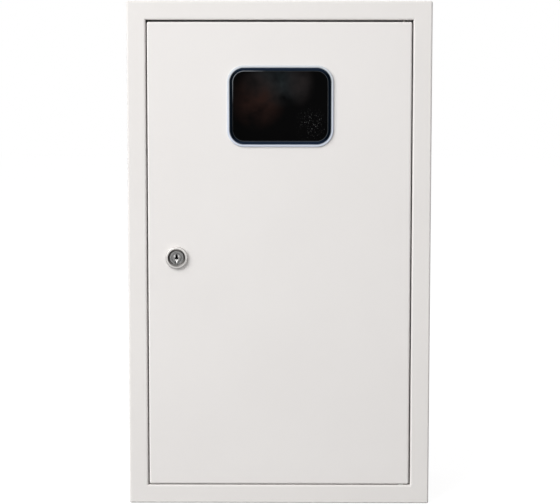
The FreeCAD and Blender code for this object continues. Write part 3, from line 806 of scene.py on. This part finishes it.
plug_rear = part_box("lock_plug")[1].y
face, shader, start = new_finish("plug_face", {"Specular IOR Level": 0.0})
x, y, z = start.place()
across = x - lock_x
rise = z - lock_z
out = (across ** 2 + rise ** 2) ** 0.5
# Two painted highlights beside the top of the keyway.
highlight_distance = (((abs(across) - HIGHLIGHT_PLACE[0]) * HIGHLIGHT_SCALE[0]) ** 2
        + ((rise - HIGHLIGHT_PLACE[1]) * HIGHLIGHT_SCALE[1]) ** 2)
bright = highlight_distance.step(1.0, 0.1) * start.noise(700, 2).step(0.2, 0.6)
# The groove is a relief only, and its ring is painted dark as its shade.
groove = out.step(*GROOVE_INNER) * out.step(*GROOVE_OUTER)
grey = start.noise(500, 2).blend(tone(0.21, 0.208, 0.205), tone(0.17, 0.168, 0.166))
grey = (groove * 0.7).blend(grey, tone(0.04, 0.04, 0.04))
grey = out.step(*FACE_RIM).blend(grey, tone(0.27, 0.265, 0.26))
grey = bright.blend(grey, tone(0.60, 0.59, 0.58))
# Inside the keyway the walls get painted shade: nearly black, and not metallic.
inside = y.step(lock_face + NEAR / 5, lock_face + NEAR)
inside = inside * out.step(PLUG_RADIUS, PLUG_RADIUS - NEAR)
inside.blend(grey, tone(0.004, 0.004, 0.004)).into(shader, "Base Color")
(1 - inside).into(shader, "Metallic")
(start.noise(300, 2) * 0.12 + inside * 0.5 + 0.32).into(shader, "Roughness")
relief(start.math("SINE", out * TURNED_LINES) * 0.15 - groove, shader, FACE_RELIEF)

plug_end = lock_high.y + BEYOND_BARREL
plug = turn("plug_head", lock_x, lock_z, [
    (PLUG_HEAD_RADIUS - FACE_EDGE, lock_face), (PLUG_HEAD_RADIUS, lock_face + FACE_EDGE),
    (PLUG_HEAD_RADIUS, plug_shoulder), (PLUG_RADIUS, plug_shoulder), (PLUG_RADIUS, plug_end),
    (TAIL_RADIUS, plug_end), (TAIL_RADIUS, plug_rear)], 64)
upper = start_piece("recess_tool", bpy.ops.mesh.primitive_cube_add, size=1,
                    location=(lock_x, lock_face, lock_z + (KEY_TOP + KEY_WAIST) / 2),
                    scale=(KEY_WIDE, 2 * KEY_DEPTH, KEY_TOP - KEY_WAIST))
choose(upper, "FACE", lambda middle, normal: normal.z > FACING)
bpy.ops.transform.resize(value=(KEY_NARROW / KEY_WIDE, 1, 1),
                         center_override=(lock_x, 0, lock_z))
bpy.ops.object.mode_set(mode="OBJECT")
lower = bar_tool(lock_x, lock_face, lock_z + (KEY_WAIST + KEY_FOOT) / 2, KEY_WIDE,
                 KEY_WAIST - KEY_FOOT + 2 * NEAR, KEY_DEPTH)
foot = turn("recess_tool", lock_x, lock_z + KEY_FOOT,
            [(KEY_WIDE / 2, lock_face - KEY_DEPTH), (KEY_WIDE / 2, lock_face + KEY_DEPTH)], 24)
cut_away(plug, upper, lower, foot)
dress(plug, face, "lock_face", "lock_core", "lock_plug")

silver, shader, start = new_finish("tumbler_edges", {"Metallic": 1.0})
polish = start.noise(900, 2)
polish.blend(tone(0.86, 0.85, 0.83), tone(0.70, 0.69, 0.67)).into(shader, "Base Color")
(start.noise(500, 2) * 0.1 + 0.28).into(shader, "Roughness")
wafer_y = lock_face + WAFER_DEEP + WAFER_THICK / 2
limbs = []
for side, set_back, lean, wide, tall, height in (
        (0, 0, 0, 0.0013, 0.0028, -0.0043), (-1, FORK_SET_BACK, -32, 0.0009, 0.0026, -0.0027),
        (1, FORK_SET_BACK, 32, 0.0009, 0.0026, -0.0027)):
    limb = start_piece("tumbler", bpy.ops.mesh.primitive_cube_add, size=1,
                       location=(lock_x + side * FORK_APART, wafer_y + set_back,
                                 lock_z + height),
                       rotation=(0, math.radians(lean), 0), scale=(wide, WAFER_THICK, tall))
    choose_all(limb)
    bevel(WAFER_EDGE, 2)
    bpy.ops.object.mode_set(mode="OBJECT")
    limbs.append(limb)
wafers = repeat(join(*limbs), *[(0, WAFER_PITCH * number, 0) for number in (1, 2, 3)])
dress(join(*wafers), silver, "lock_face", "lock_core", "lock_wafers")


# The cam is a flat plated bar on the plug's square tail, where a pan head screw with a cross
# recess holds it. It turns behind the frame's edge to lock the door.
coat(zinc, "lock_cam")
cam_low, cam_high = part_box("cam_screw")
cam_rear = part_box("lock_cam")[1].y
cam_screw = pan_head("cam_screw_head", lock_x, lock_z, cam_rear, cam_high.y,
                     (cam_high.x - cam_low.x) / 2)
dress(cam_screw, zinc, "zinc_plate", "lock_core", "cam_screw")


# The upper hinge pin is a bent rod of the same dull steel in the door's hinge edge. A clip on it
# carries a coil of spring wire, which shortens on the bracket when the pin is pulled down.
WIRE_RADIUS = 0.0004
WIRE_SIDES = 10
COIL_TURNS = 6
COIL_STEPS = 28

coat(dull, "upper_pin", "pin_clip")
spring_low, spring_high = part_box("pin_spring")
spring_x = (spring_low.x + spring_high.x) / 2
spring_y = (spring_low.y + spring_high.y) / 2
coil_radius = (spring_high.x - spring_low.x) / 2 - WIRE_RADIUS
steel, shader, start = new_finish("spring_wire", {"Metallic": 1.0})
patina = start.noise(300, 2)
patina.blend(tone(0.40, 0.40, 0.41), tone(0.28, 0.28, 0.30)).into(shader, "Base Color")
(start.noise(600, 2) * 0.2 + 0.3).into(shader, "Roughness")

bpy.ops.object.select_all(action="DESELECT")
bpy.ops.mesh.primitive_circle_add(vertices=WIRE_SIDES, radius=WIRE_RADIUS, fill_type="NOTHING",
                                  location=(spring_x, spring_y, spring_low.z + WIRE_RADIUS))
spring = bpy.context.object
spring.name = "pin_spring_coil"
choose(spring, "EDGE", lambda one, two: True)
bpy.ops.transform.rotate(value=math.radians(90), orient_axis="X",
                         center_override=spring.location)
bpy.ops.transform.translate(value=(coil_radius, 0, 0))
bpy.ops.object.mode_set(mode="OBJECT")
coil = spring.modifiers.new("coil", "SCREW")
coil.axis = "Z"
coil.iterations = COIL_TURNS
coil.screw_offset = (spring_high.z - spring_low.z - 2 * WIRE_RADIUS) / COIL_TURNS
coil.steps = COIL_STEPS
coil.render_steps = COIL_STEPS
bpy.ops.object.modifier_apply(modifier=coil.name)
bpy.ops.object.transform_apply(location=True, rotation=True, scale=True)
bpy.ops.object.mode_set(mode="EDIT")
bpy.ops.mesh.select_mode(type="EDGE")
bpy.ops.mesh.select_all(action="DESELECT")
bpy.ops.mesh.select_non_manifold()
bpy.ops.mesh.fill()
bpy.ops.mesh.select_all(action="SELECT")
bpy.ops.mesh.normals_make_consistent(inside=False)
dress(spring, steel, "spring_steel", "door", "pin_spring", angle=60)
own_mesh(spring)


# The floor is a plain pale sheet. It and the surround look white to the camera, and a soft
# shadow stays under the cabinet. The room is dimmer in front, where the camera stands.
FLOOR_SIZE = 40
FLOOR_BELOW = 0.0002
FLOOR_GLOW = 0.86
ROOM_FRONT = (-0.95, -0.35)
ROOM_BEHIND = 0.40
ROOM_LEAST = 0.10

bpy.ops.object.select_all(action="DESELECT")
bpy.ops.mesh.primitive_plane_add(size=FLOOR_SIZE, location=(0, 0, cad_box[0].z - FLOOR_BELOW))
floor = bpy.context.object
floor.name = "floor"
paper, shader, start = new_finish("floor_paper", {"Roughness": 0.9, "Specular IOR Level": 0.0})
start.noise(3, 2).blend(tone(0.32, 0.32, 0.32), tone(0.31, 0.31, 0.31)).into(shader, "Base Color")
shader.inputs["Emission Color"].default_value = tone(1, 1, 1)
seen = start.node("LightPath", {}, {}, "Is Camera Ray")
(seen * FLOOR_GLOW).into(shader, "Emission Strength")
floor.data.materials.append(paper)

world = bpy.data.worlds.new("surround")
bpy.context.scene.world = world
world.use_nodes = True
sky = world.node_tree.nodes["Background"]
start = Signal(world.node_tree)
seen = start.node("LightPath", {}, {}, "Is Camera Ray")
seen = seen.at_least(start.node("LightPath", {}, {}, "Is Glossy Ray"))
seen = seen.at_least(start.node("LightPath", {}, {}, "Is Transmission Ray"))
sky.inputs["Color"].default_value = tone(1, 1, 1)
direction = start.node("TexCoord", {}, {}, "Generated")
behind = start.node("SeparateXYZ", {}, {0: direction}, 1).step(*ROOM_FRONT)
(behind * ROOM_BEHIND + ROOM_LEAST).at_least(seen).into(sky, "Strength")

# One large soft lamp stands to the upper left, so that folds facing it catch the light, and a
# weaker one beside the camera fills the shadows and the gaps.
for name, power, size, place in (("key_lamp", 86, 2.3, (-1.75, -1.95, 1.35)),
                                 ("fill_lamp", 7, 0.9, (0.3, -2.5, 0.2))):
    lamp = bpy.data.lights.new(name, "AREA")
    lamp.energy = power
    lamp.size = size
    lamp_object = bpy.data.objects.new(name, lamp)
    lamp_object.location = place
    towards = Vector((0, -0.15, 0)) - lamp_object.location
    lamp_object.rotation_euler = towards.to_track_quat("-Z", "Y").to_euler()
    bpy.context.scene.collection.objects.link(lamp_object)

# The camera stands 1.6 m in front of the wall, a little above the middle of the door, and looks
# slightly down through a long lens, so that the box fills the height of the picture.
camera = bpy.data.cameras.new("camera")
camera.lens = 94.33
camera_object = bpy.data.objects.new("camera", camera)
camera_object.location = (0.0060, -1.6000, 0.1222)
camera_object.rotation_euler = [math.radians(angle) for angle in (90 - 4.681, -0.052, 0.213)]
bpy.context.scene.collection.objects.link(camera_object)
bpy.context.scene.camera = camera_object
bpy.context.scene.view_settings.view_transform = "Standard"
